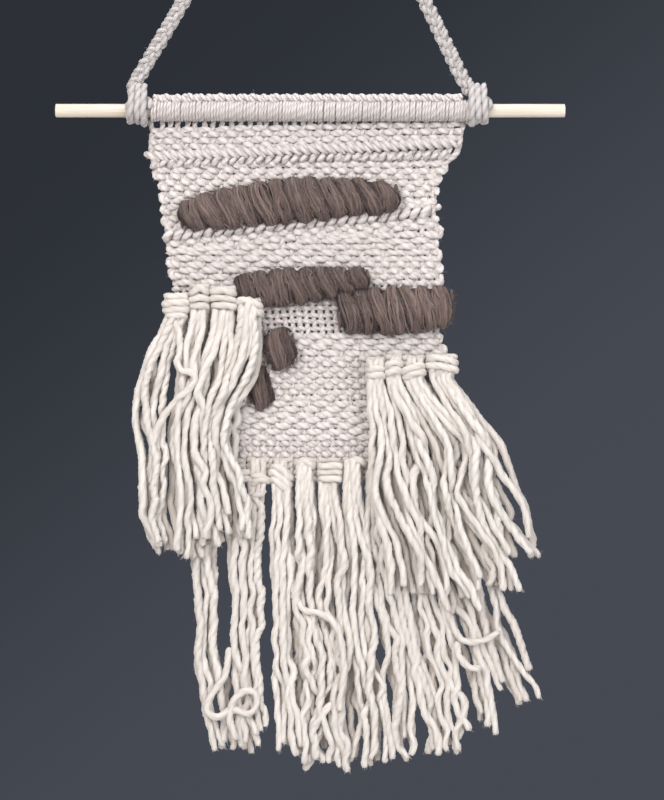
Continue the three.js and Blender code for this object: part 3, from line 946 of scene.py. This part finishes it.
def brushOut(batch, strand, shade):     # long fibres that run along a lock
    route, tangent, side, up, size = strand
    count, rings = lockLook["fibres"], len(route)
    at = rng.integers(rings // 6, max(rings // 6 + 1, rings - rings // 6), count)
    turn = rng.uniform(0, 2 * math.pi, count)[:, None]
    outward = np.cos(turn) * side[at] + np.sin(turn) * up[at]
    roots = route[at] + outward * (size[at] * rng.uniform(0.85, 1.3, count))[:, None]
    ways = tangent[at] * rng.choice([-1, 1], count)[:, None]
    ways = ways + outward * rng.uniform(-0.1, 0.3, count)[:, None]
    addFibres(batch, roots, ways + rng.normal(0, 0.25, (count, 3)),
              rng.uniform(*lockLook["fibreLength"], count), 0.085,
              # the fibres take their lock's tone, painted shade and highlight included
              (shade + rng.uniform(-0.7, 0.8, count)).repeat(fibrePoints), 0.45)


def layLobe(batch, look, number):       # a sheaf of locks, highest along its middle
    start, width = rovingSpan(look)
    points, lobes, wide = lockLook["points"], look["lobes"], lobeOverlap(look)
    pitch = width / lobes
    angle = np.linspace(-lockLook["reachRound"], lockLook["reachRound"], points)
    ends = np.sin(angle)
    bend = lockLook["bend"] * rng.uniform(0.3, 1.5)
    phase = rng.uniform(-1.0, 1.0)
    outer = number in (0, lobes - 1)
    lean = look["lean"] * rng.uniform(0.6, 1.4) * (0.4 if outer else 1)
    tone = rng.uniform(0.4, 0.62)
    middle = (number + 0.5) / lobes
    centre, half, deep = rovingOutline(look, middle)
    half = half * rng.uniform(0.96, 1.05) - 0.8
    narrow = np.sqrt(1 - lockLook["pointed"] * ends ** 2)
    locks = int(pitch * lockLook["overlap"] / lockLook["spacing"])
    for lock in range(locks):
        w = ((lock + rng.uniform(0.2, 0.8)) / locks * 2 - 1) * 0.96
        crown = math.sqrt(1 - w * w)
        beside = np.clip(middle + w * wide * 0.5 / lobes, 0, 1)
        tilt = rovingOutline(look, beside)[0] - centre
        tall = half * (0.45 + 0.55 * crown ** 0.7)
        sway = bend * np.sin(angle * 1.9 + phase) + wander(points, 6, 0.9)
        x = start + width * middle + w * wide * pitch / 2 * narrow + lean * ends + sway
        lift = lockLook["lobeLift"] * (crown - 0.9) + rng.uniform(-0.4, 0.5)
        y = lockLook["behind"] - (deep - 0.8 + lift) * np.cos(angle) + wander(points, 6, 0.25)
        # painted shade on the locks towards a lobe's edges and painted highlight on its middle
        # ones, over a random tone for each lobe and lock
        shade = tone - lockLook["dim"] * (1 - crown) + rng.uniform(-0.22, 0.22)
        strand = addStrand(batch, np.stack([x, y, centre + tilt - tall * ends], axis=1),
                           lockLook["radius"] * rng.uniform(0.7, 1.3), shade,
                           sides=6, step=1.7, twist=30, valley=0.84, lumps=0.2,
                           swell=[0.6, 1, 0.85, 1.1, 0.9, 1, 0.6])
        brushOut(batch, strand, shade)


def closeEnd(batch, look, far):         # smaller and smaller locks that round off one end
    start, width = rovingSpan(look)
    points, outward = lockLook["points"], far * 2 - 1
    angle = np.linspace(-lockLook["reachRound"], lockLook["reachRound"], points)
    place = (far * (look["lobes"] - 1) + 0.5) / look["lobes"]
    centre, half, deep = rovingOutline(look, place)
    half, deep = half * 0.74, deep - lockLook["lobeLift"] * 0.6
    pitch = width / look["lobes"]
    tip = start + width * place + outward * lobeOverlap(look) * pitch / 2 * 0.86
    for share in np.arange(0.96, 0.1, -0.11):
        x = tip + outward * (1 - share) * 1.2 + wander(points, 5, 0.5)
        y = lockLook["behind"] - deep * share * np.cos(angle)
        strand = addStrand(batch, np.stack([x, y, centre - half * share * np.sin(angle)], axis=1),
                           lockLook["radius"] * rng.uniform(0.8, 1.2), rng.uniform(0.15, 0.6),
                           sides=7, step=1.5, twist=20, valley=0.84, lumps=0.2)
        fuzz(batch, strand, 1.5, 2.5, radius=0.07, tint=0.8)


def layAskew(batch, look):              # a thin lock that crosses the others
    start, width = rovingSpan(look)
    points = 18
    place = rng.uniform(0.07, 0.93)
    centre, half, deep = rovingOutline(look, place)
    run = np.linspace(*np.sort(rng.uniform(-1.3, 1.3, 2)) + [-0.25, 0.25], points)
    askew = look["lean"] * rng.uniform(0.6, 2.4) * np.sin(run) + wander(points, 5, 1.4)
    x = start + width * place + askew
    y = lockLook["behind"] - (deep + rng.uniform(-0.9, 0.1)) * np.cos(run)
    strand = addStrand(batch, np.stack([x, y, centre - half * np.sin(run)], axis=1),
                       lockLook["radius"] * rng.uniform(0.5, 0.9), rng.uniform(0.3, 1.0),
                       sides=7, step=1.5, twist=20, valley=0.8, lumps=0.2, tip=0.1,
                       swell=[0.3, 1, 1, 1, 0.3])
    fuzz(batch, strand, 1.5, 3.0, radius=0.07, tint=1.0)


def makeRoving(name, look):
    batch = newBatch()
    layCore(batch, look)
    for number in range(look["lobes"]):
        layLobe(batch, look, number)
    for far in (0, 1):
        closeEnd(batch, look, far)
    for number in range(lockLook["crossing"] * (look["lobes"] - 1)):
        layAskew(batch, look)
    makePiece(f"fleece_{name}", batch, brownRoving, "panel", [name])


for rovingName, look in rovingLook.items():
    makeRoving(rovingName, look)
print("rovings ready")


# Fringes: tassels of loose strands below their knots. A seam between tassels is its places across
# at even steps down the fringe, and a stray's points are places across, front to back and down.
# Spread is the share of a tassel's width that it fills, and over numbers the tassels whose
# strands come over the front of the knot.
sideFringe = {"middle": -6.6, "thickness": 9.6, "tuck": 5, "clampY": (-16.5, -3.2)}
hemFringe = {"foot": 227.2, "reach": 172.6, "middle": 3.5, "thickness": 9, "tuck": 11,
             "clampY": (0.4, 10.5)}
fringeLook = {
    "left": {
        **sideFringe, "body": "left_fringe", "foot": 124.2, "reach": 147,
        "shorter": (4, 0, 7, 13), "knots": (13.5, 19, 17.8, 11),
        "seams": [(-89.5, -99.9, -104.7, -105.9, -103.5, -99.3, -96.3),
                  (-73.9, -80, -83.6, -85.4, -86, -84.8, -82.4),
                  (-61.9, -65, -68, -70.4, -70.4, -68.6, -65.6),
                  (-45.6, -48.7, -54.7, -59.6, -60.2, -56.6, -48.1),
                  (-30.6, -29.5, -39.7, -43.9, -40.3, -34.9, -26.5)],
        "spread": [(0.05, 0.7), (0.3, 1.0), (0.0, 1.0), (0.0, 0.84)],
        "strands": (8, 8, 9, 8), "roam": 0.5, "curl": 1.5, "over": (4,),
        "strays": {1: [[(-86, -7, -4), (-80, -11, 10), (-79.5, -14, 22), (-81.5, -15.5, 28),
                       (-78, -16.4, 32.2), (-72.8, -16.8, 33.1), (-70.8, -16.8, 38),
                       (-73.5, -16.8, 43.5), (-80, -16.2, 49), (-86, -15, 56), (-92, -13.5, 66),
                       (-96, -12, 80), (-97, -10, 100)]]},
        "clampX": (-108, -18),
    },
    "right": {
        **sideFringe, "body": "right_fringe", "foot": 161.9, "reach": 143,
        "shorter": (12, 0, 15, 34), "knots": (13, 14.4, 14, 14.6),
        "seams": [(31.9, 34.9, 36.7, 41.5, 47.5), (43.3, 51.1, 57.2, 67.4, 76.4),
                  (53.5, 69.2, 81.2, 91.4, 100.5), (67.4, 89.6, 103.5, 114.3, 121.5),
                  (86.6, 110.7, 124.5, 134.8, 141.4)],
        "spread": [(0.0, 0.95), (0.0, 1.0), (0.0, 1.12), (-0.22, 1.0)],
        "strands": (8, 8, 8, 8), "roam": 0.42, "curl": 1.7, "over": (), "strays": {},
        "clampX": (20, 153),
    },
    "bottom_left": {
        **hemFringe, "body": "bottom_left", "shorter": (12.6, 8.6, 23.6), "knots": (18, 18, 18),
        "seams": [(-69.1, -70.4, -69.2, -66.2, -63.2), (-54.7, -54.1, -51.7, -48.1, -43.9),
                  (-40.3, -42.1, -40.3, -37.3, -33.7), (-25.9, -30.7, -30.1, -28.3, -24.7)],
        "spread": [(0.06, 0.78), (0.36, 1.0), (0.05, 0.72)],
        "strands": (6, 5, 5), "roam": 0.34, "curl": 2.1, "over": (),
        "strays": {2: [[(-50, 1, 96), (-53, -1.5, 112), (-60, -3.5, 122), (-64, -4.5, 132),
                       (-57, -5.5, 137.5), (-48, -5, 133), (-39, -5, 134.5), (-33.5, -4.5, 130),
                       (-34, -4, 124), (-41, -4.5, 122), (-47, -5.5, 127), (-49, -6, 138),
                       (-45, -5, 150)]]},
        "clampX": (-78, -31),
    },
    "bottom_middle": {
        **hemFringe, "body": "bottom_middle", "shorter": (7.6, 1.6, 0, 3.6),
        "knots": (18, 18, 18, 18),
        "seams": [(-25.9, -24.7, -24.7, -23.5, -20), (-11.7, -10, -8, -7, -5),
                  (2.5, 4, 6, 8, 10), (16.8, 19, 22, 24, 27), (31, 34, 38, 41, 44)],
        "spread": [(0.1, 1.0), (0.0, 1.0), (0.0, 1.0), (0.0, 1.0)],
        "strands": (8, 8, 8, 8), "roam": 0.42, "curl": 2.1, "over": (2, 4),
        "strays": {2: [[(-13, 2, 40), (-12, 0, 60), (-6, -3, 73), (3, -5.5, 74.5), (12, -7, 79.3),
                       (16.8, -7, 91.3), (18, -6.5, 109.4), (16, -5.5, 133.5)]]},
        "clampY": (-2.4, 11), "clampX": (-24.5, 44),
    },
    "bottom_right": {
        **hemFringe, "body": "bottom_right", "shorter": (5.6, 8.6, 20.6, 40),
        "knots": (18, 18, 18, 18),
        "seams": [(31, 34, 39, 44, 48), (43.4, 48, 56, 63, 68), (55.8, 64, 75, 85, 90),
                  (68.2, 82, 98, 111, 118), (80.6, 104, 122, 136, 142)],
        "spread": [(0.0, 1.0), (0.0, 1.0), (0.0, 0.9), (0.1, 1.0)],
        "strands": (8, 8, 7, 7), "roam": 0.4, "curl": 2.2, "over": (),
        "strays": {3: [[(80, -2, 70), (85.4, -4.5, 86), (92, -5.5, 92), (104, -5, 90.5),
                       (112, -4, 86)], [(86, -3, 92), (88, -5, 101), (94, -6, 106.5),
                       (101, -5, 108)]]},
        "clampX": (33, 152),
    },
}
strandLook = {"radius": 2.35, "twist": 16, "step": 1.6, "slice": 2.4, "pinch": 0.16,
              "opensOver": 48, "clumpsBelow": 0.6, "clumpPull": 0.42, "spacing": 1.9,
              "kinkLength": 8.5, "turnOver": 16, "tipFibres": 8, "tipLength": (2.2, 3.3)}


def easing(t):                          # 0 to 1 with a soft start and a soft stop
    t = np.clip(t, 0, 1)
    return t * t * (3 - 2 * t)


def seamAt(seam, down, reach):
    line = smoothLine(list(enumerate(seam)), 12)
    return np.interp(np.clip(down / reach, 0, 1) * (len(seam) - 1), line[:, 0], line[:, 1])


def layStrands(look):                   # every strand's places across and deep at each slice
    paths, ends, owners, tones = [], [], [], []
    slices = int(look["reach"] / strandLook["slice"]) + 1
    down = np.linspace(0, look["reach"], slices)
    t = down / look["reach"]
    below = strandLook["clumpsBelow"]
    grown, late = easing(down / strandLook["opensOver"]), easing((t - below) / (1 - below))
    for index in range(len(look["seams"]) - 1):
        count = look["strands"][index]
        together = wander(slices, 6, 2.4)
        clumps = rng.uniform(0.12, 0.3), rng.uniform(0.66, 0.88)
        for number in range(count):
            first, last = look["spread"][index]
            share = (number + rng.uniform(0.2, 0.8)) / count
            held = strandLook["pinch"] + (1 - 2 * strandLook["pinch"]) * share
            loose = share + wander(slices, 5, look["roam"]) + rng.normal(0, 0.08) * t
            clump = min(clumps, key=lambda place: abs(place - share - rng.normal(0, 0.1)))
            loose = np.clip(loose + late * strandLook["clumpPull"] * (clump - loose), -0.02, 1.02)
            across = held + grown * (first + (last - first) * loose - held)
            left = seamAt(look["seams"][index], down, look["reach"])
            right = seamAt(look["seams"][index + 1], down, look["reach"])
            front = number % 2 == 0
            x = left + (right - left) * across + grown * together
            layer = look["thickness"] * (rng.uniform(-0.4, -0.1) if front
                                         else rng.uniform(0.1, 0.4))
            y = look["middle"] + layer * (1 + 0.9 * grown)
            y = y + grown * wander(slices, 7, look["thickness"] * 0.36)
            # painted shade: strands in the back layer get darker tones than those in front
            tones.append(rng.uniform(0.5, 0.95) if front else rng.uniform(0.05, 0.5))
            paths.append(np.stack([x, y], axis=1))
            short = look["shorter"][index] + abs(rng.normal(0, 7)) * (0.4 + rng.random())
            ends.append(look["reach"] - short)
            owners.append(index)
    return down, np.array(paths), np.array(ends), owners, tones


def softened(move, times=4):            # a shove spread along its strand
    for again in range(times):
        move[:, 1:-1] = (move[:, :-2] + 2 * move[:, 1:-1] + move[:, 2:]) / 4
    return move


def loosen(down, paths, ends, look, rounds=46):     # strands push each other apart, then kink
    gap = strandLook["radius"] * strandLook["spacing"]
    there = down[None] <= ends[:, None] + strandLook["slice"]
    room = gap * np.clip(0.42 + down / 36, 0, 1)
    both = there[:, None] & there[None]
    held = down < 3
    start = paths.copy()
    for turn in range(rounds):
        apart = paths[:, None] - paths[None]
        distance = np.sqrt((apart ** 2).sum(-1)) + 1e-6
        push = np.clip(room - distance, 0, None) * both
        np.einsum("iik->ik", push)[:] = 0
        move = (apart / distance[..., None] * push[..., None]).sum(1) * 0.28
        paths[:, 1:-1] += 0.02 * (paths[:, :-2] - 2 * paths[:, 1:-1] + paths[:, 2:])
        paths = paths + softened(move) * np.array([0.6, 1.3]) * (1 - 0.5 * turn / rounds)
        paths[..., 1] = np.clip(paths[..., 1], *look["clampY"])
        paths[..., 0] += softened(np.clip(paths[..., 0], *look["clampX"]) - paths[..., 0])
        paths[:, held] = start[:, held] * 0.5 + paths[:, held] * 0.5
    kinks = int(look["reach"] / strandLook["kinkLength"])
    rising = easing(down / 30) * (0.45 + 0.75 * down / look["reach"])
    for path in paths:
        path[:, 0] += rising * wander(len(down), kinks, look["curl"] * rng.uniform(0.5, 1.4))
        path[:, 1] += rising * wander(len(down), kinks, look["curl"] * 0.4)
        path[:, 1] = np.clip(path[:, 1], *look["clampY"])
    return paths


def frayTip(batch, end, way, radius):
    count = strandLook["tipFibres"]
    turn = rng.uniform(0, 2 * math.pi, count)
    reach = radius * np.sqrt(rng.random(count)) * 0.8
    roots = end + np.stack([reach * np.cos(turn), reach * np.sin(turn), 0 * turn], axis=1) - way * 2
    spread = np.stack([np.cos(turn), np.sin(turn), 0 * turn], axis=1) * 0.16
    addFibres(batch, roots, way + spread, rng.uniform(*strandLook["tipLength"], count), 0.12, 0.7,
              0.2)


def overKnot(look, index, down, line):  # a strand that comes over the front of its knot
    foot, first = -hangDrop - look["foot"], line[0][0]
    high = foot + look["knots"][index] - rng.uniform(0, 4)
    near = look["middle"] - look["thickness"] / 2 - rng.uniform(0.2, 1.8)
    centre = (look["seams"][index][0] + look["seams"][index + 1][0]) / 2
    pinched = centre + (first - centre) * 0.8 + rng.uniform(-1, 1)
    line[:, 1] += (near - line[0][1]) * (1 - easing(down / strandLook["turnOver"]))
    return [(pinched, look["middle"] + 1.5, high - 2.5),
            (pinched, look["middle"] - 1.6, high - 0.4),
            (pinched, near, high - 4.0), (pinched * 0.6 + first * 0.4, near, foot + 3.5)]


def hangStrand(batch, look, index, down, path, tone):
    foot = -hangDrop - look["foot"]
    line = np.column_stack([path, foot - down])
    across, deep = path[0]
    above = [(across, look["middle"] * 0.5 + deep * 0.5, foot + look["tuck"])]
    if index + 1 in look["over"] and deep < look["middle"] - 1.0:
        above = overKnot(look, index, down, line)
    radius = strandLook["radius"] * rng.uniform(0.88, 1.1)
    strand = addStrand(batch, smoothLine(np.vstack([above, line]), 3), radius, tone,
                       step=strandLook["step"], twist=strandLook["twist"] * rng.uniform(0.8, 2.0),
                       valley=rng.uniform(0.74, 0.92), lumps=0.14,
                       swell=[1, 1, 1.02, 1, 1, 1, 0.98, 0.9], tip=0.7)
    fuzz(batch, strand, 0.4, 3.0, radius=0.05)
    frayTip(batch, strand[0][-1], strand[1][-1], radius)


def hangStray(batch, look, points):     # a strand that curls across the others
    route = smoothLine([(x, y, -hangDrop - look["foot"] - drop) for x, y, drop in points])
    route[1:-1] += np.stack([wander(len(route) - 2, 9, 0.8) for axis in range(3)], axis=1)
    strand = addStrand(batch, route, strandLook["radius"] * 0.92, 0.65, twist=22, valley=0.85,
                       lumps=0.12, step=strandLook["step"])
    fuzz(batch, strand, 0.4, 3.0, radius=0.05)
    frayTip(batch, strand[0][-1], strand[1][-1], strandLook["radius"] * 0.85)


def makeFringe(name, look):
    down, paths, ends, owners, tones = layStrands(look)
    paths = loosen(down, paths, ends, look)
    for index in range(len(look["seams"]) - 1):
        batch = newBatch()
        for path, end, owner, tone in zip(paths, ends, owners, tones):
            if owner == index:
                keep = down <= end
                hangStrand(batch, look, index, down[keep], path[keep], tone)
        for points in look["strays"].get(index + 1, []):
            hangStray(batch, look, points)
        part = f"{name}_{index + 1}"
        piece = makePiece(f"strands_{part}", batch, fringeYarn, None,
                          [f"tassel_{part}"])
        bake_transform(piece)


# Knots: bars of yarn laid one over another, some under a row of upright loops. Each bar has its
# left end's place across and drop, its right end's, and how much it arches.
knotLook = {
    "left": [
        {"laid": [(0.08, 2.3, 0.92, 1.9, 0.7), (-0.02, 6.0, 0.98, 5.4, 0.5),
                  (0.02, 9.8, 1.0, 9.3, 0.2), (0.1, 13.2, 0.9, 13.0, 0.1)]},
        {"laid": [(0.02, 5.2, 0.98, 4.6, 3.0), (0.0, 9.2, 1.0, 8.8, 1.3),
                  (0.04, 13.0, 0.96, 12.8, 0.5)]},
        {"laid": [(0.04, 3.2, 0.96, 4.0, 1.3), (-0.02, 7.2, 1.0, 8.2, 0.9),
                  (0.1, 11.4, 1.03, 12.2, 0.7)]},
        {"laid": [(0.0, 2.2, 1.0, 4.6, 1.6), (0.2, 6.2, 1.04, 8.8, 0.6)]},
    ],
    "right": [
        {"loops": 4, "laid": [(0.0, 7.0, 1.0, 6.6, 0.4), (0.02, 10.6, 0.98, 10.4, 0.2)]},
        {"loops": 4, "laid": [(-0.04, 6.4, 1.06, 5.2, 1.8), (0.02, 10.4, 0.98, 9.4, 1.2)]},
        {"loops": 4, "laid": [(-0.04, 8.8, 0.96, 6.0, 0.8), (0.04, 12.2, 1.0, 9.8, 0.6)]},
        {"loops": 5, "laid": [(0.06, 2.2, 1.0, 4.6, 1.4), (0.04, 6.4, 1.0, 8.6, 0.8)]},
    ],
    "bottom_left": [
        {"laid": [(0.1, 6, 1.0, 5, 0.6), (0.0, 10, 1.0, 10.5, 0.3)]},
        {"laid": [(0.5, 9.4, 1.2, 8.6, 0.5), (0.55, 13.4, 1.2, 12.4, 0.4)]},
        {"loops": 3, "laid": [(0.15, 15.2, 1.0, 13.4, 1.4), (0.2, 11.2, 0.95, 12.6, 1.4)]},
    ],
    "bottom_middle": [
        {"loops": 3, "laid": [(0.1, 5.5, 1.0, 12.0, 1.6), (-0.05, 9, 0.92, 15.6, 1.2),
                              (0.0, 13, 0.8, 18.5, 0.8)]},
        {"laid": [(0.1, 2.8, 0.9, 4.4, 1.6)]},
        {"laid": [(0.05, 5.4, 1.1, 5, 0.9), (0.0, 8.8, 1.14, 8.6, 0.5),
                  (0.1, 12.2, 1.1, 12.4, 0.1)]},
        {"laid": [(0.3, 2.2, 1.15, 3.4, 1.9)]},
    ],
    "bottom_right": [
        {"loops": 3, "laid": [(0.3, 4, 1.1, 7.6, 1.6), (0.25, 8, 1.1, 11.8, 1.2)]},
        {"loops": 4, "laid": [(0.0, 5, 1.0, 6, 0.6), (0.0, 9.5, 1.0, 9, 0.3)]},
        {"loops": 4, "laid": [(0.0, 6, 1.0, 5, 0.6), (0.0, 10, 1.0, 10.5, 0.3)]},
        {"loops": 4, "laid": [(0.0, 5, 1.0, 6, 0.6), (0.0, 9.5, 1.0, 9, 0.3)]},
    ],
}


windLook = {"radius": 2.1, "twist": 16, "step": 1.3, "valley": 0.82, "lumps": 0.08,
            "inset": 0.6, "backRows": 3.7}


def makeKnot(name, look, index, knot):
    batch = newBatch()
    left = look["seams"][index][0] + windLook["inset"]
    right = look["seams"][index + 1][0] - windLook["inset"]
    width = right - left
    foot = -hangDrop - look["foot"]
    tall = look["knots"][index]
    top = foot + tall
    middle, half = look["middle"], look["thickness"] / 2
    radius = windLook["radius"]

    def wind(line, tone, size=1.0):
        strand = addStrand(batch, smoothLine(line), radius * size, tone, step=windLook["step"],
                           twist=windLook["twist"], valley=windLook["valley"],
                           lumps=windLook["lumps"])
        fuzz(batch, strand, 0.4, 2.5, radius=0.055)

    loops = knot.get("loops", 0)
    for number in range(loops):         # upright folds above the bars
        x = left + radius + (width - 2 * radius) * (number + 0.5) / loops
        lean = rng.uniform(-1.6, 1.6)
        y = middle - half * 0.2 + rng.uniform(-0.8, 0.8)
        wind([(x + lean, y + 3.2, top - 2), (x + lean, y - 1.4, top - 2.2),
              (x + lean * 0.4, y - 1.8, (top + foot) / 2), (x, y, foot + 1)],
             rng.uniform(0.2, 0.5))
    # the rows at the back get the darkest tones, as painted shade behind the bars
    for drop in np.arange(0.8, tall - 3, windLook["backRows"]):     # hidden rows at its back
        wind([(left - 0.6, middle + 1.6, top - drop),
              ((left + right) / 2, middle + 0.4, top - drop - 0.5),
              (right + 0.6, middle + 1.6, top - drop)], rng.uniform(0, 0.25))
    for share0, drop0, share1, drop1, arch in knot["laid"]:
        x0, x1 = left + width * share0, left + width * share1
        z0, z1 = top - drop0, top - drop1
        front = middle - half + 0.9 - rng.uniform(0, 1.2)
        wind([(x0 + 2.0, middle + 1.5, z0 - 0.6), (x0 + 0.6, middle - 1.0, z0 - 0.2),
              (x0 + 2.2, front + 0.4, z0 + arch * 0.4),
              ((x0 + x1) / 2, front - 0.5, (z0 + z1) / 2 + arch),
              (x1 - 2.2, front + 0.4, z1 + arch * 0.4), (x1 - 0.6, middle - 1.0, z1 - 0.2),
              (x1 - 2.0, middle + 1.5, z1 - 0.6)], rng.uniform(0.45, 0.85),
             rng.uniform(1.0, 1.2))
    part = f"{name}_{index + 1}"
    makePiece(f"wraps_{part}", batch, fringeYarn, "panel", [f"knot_{part}"])


for fringeName, look in fringeLook.items():
    makeFringe(fringeName, look)
    for index, knot in enumerate(knotLook[fringeName]):
        makeKnot(fringeName, look, index, knot)
print("fringes ready")
